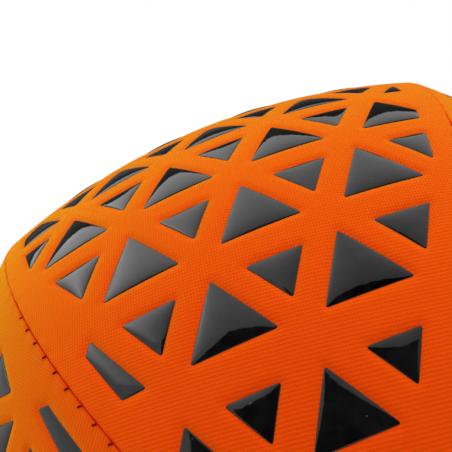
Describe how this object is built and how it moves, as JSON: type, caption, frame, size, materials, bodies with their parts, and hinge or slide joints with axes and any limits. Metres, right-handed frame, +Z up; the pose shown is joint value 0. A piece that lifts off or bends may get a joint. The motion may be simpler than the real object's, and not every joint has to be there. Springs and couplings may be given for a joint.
{
  "type": "basketball",
  "caption": "Inflatable knit-faced ball of stitched gores with raised triangular grip pads, a rubber bladder inside and a needle valve for pumping it up.",
  "frame": {"origin": "centre of the ball", "axes": "+Z up through the middle of a seam, +X out through the valve, Y through the two points where all the seams meet, the pictured one at -Y"},
  "size_m": [0.2364, 0.236, 0.248],
  "materials": {
    "knit_cover": "matte knit",
    "grip_rubber": "gloss",
    "lining_cloth": "matte",
    "seam_thread": "satin",
    "bladder_rubber": "matte",
    "valve_rubber": "satin",
    "plug_rubber": "satin"
  },
  "bodies": {
    "root": {"cover_gore_1": "knit_cover", "cover_gore_2": "knit_cover", "cover_gore_3": "knit_cover", "cover_gore_4": "knit_cover", "cover_gore_5": "knit_cover", "cover_gore_6": "knit_cover", "grip_pads_1": "grip_rubber", "grip_pads_2": "grip_rubber", "grip_pads_3": "grip_rubber", "grip_pads_4": "grip_rubber", "grip_pads_5": "grip_rubber", "grip_pads_6": "grip_rubber", "backing_1": "lining_cloth", "backing_2": "lining_cloth", "backing_3": "lining_cloth", "backing_4": "lining_cloth", "backing_5": "lining_cloth", "backing_6": "lining_cloth", "seam_thread_1": "seam_thread", "seam_thread_2": "seam_thread", "seam_thread_3": "seam_thread", "seam_thread_4": "seam_thread", "seam_thread_5": "seam_thread", "seam_thread_6": "seam_thread", "bladder": "bladder_rubber", "valve_stem": "valve_rubber", "valve_plug": "plug_rubber"}
  },
  "joints": []
}
